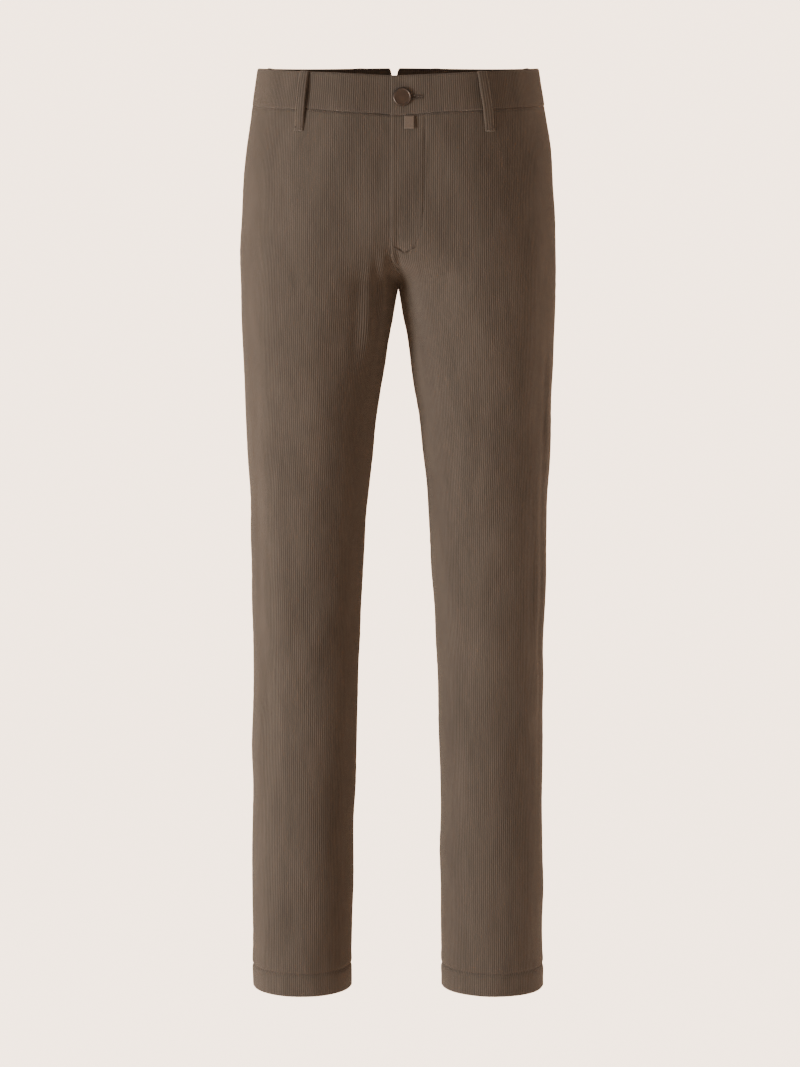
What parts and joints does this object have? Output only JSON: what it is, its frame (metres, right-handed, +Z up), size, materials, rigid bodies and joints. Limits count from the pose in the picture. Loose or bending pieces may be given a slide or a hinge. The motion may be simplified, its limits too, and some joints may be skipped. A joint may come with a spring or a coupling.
{
  "type": "corduroy trousers",
  "caption": "Slim straight corduroy trousers held open as worn, with a buttoned waistband, belt loops, a closed fly, side-seam pockets and turned-up hems.",
  "frame": {"origin": "middle of the waist opening, 6 mm below the waistband's top edge at centre front, where the wearer's waist holds it", "axes": "+Z up the body, -Y out of the front, +X to the wearer's left"},
  "size_m": [0.3523, 0.2415, 1.047],
  "materials": {
    "cloth": "ribbed cotton corduroy with a soft nap",
    "pocketing": "plain cotton twill",
    "zip_tape": "woven zip tape with teeth",
    "button_metal": "dark burnished bronze"
  },
  "bodies": {
    "root": {"front_right": "cloth", "front_left": "cloth", "back_right": "cloth", "back_left": "cloth", "waistband_right": "cloth", "waistband_left": "cloth", "belt_loop_front_right": "cloth", "belt_loop_front_left": "cloth", "belt_loop_side_right": "cloth", "belt_loop_side_left": "cloth", "belt_loop_back_right": "cloth", "belt_loop_back_left": "cloth", "keeper_tab": "cloth", "pocket_right": "pocketing", "pocket_left": "pocketing", "fly_shield": "pocketing", "fly_zip": "zip_tape", "zip_slider": "button_metal", "waist_button": "button_metal"}
  },
  "joints": []
}
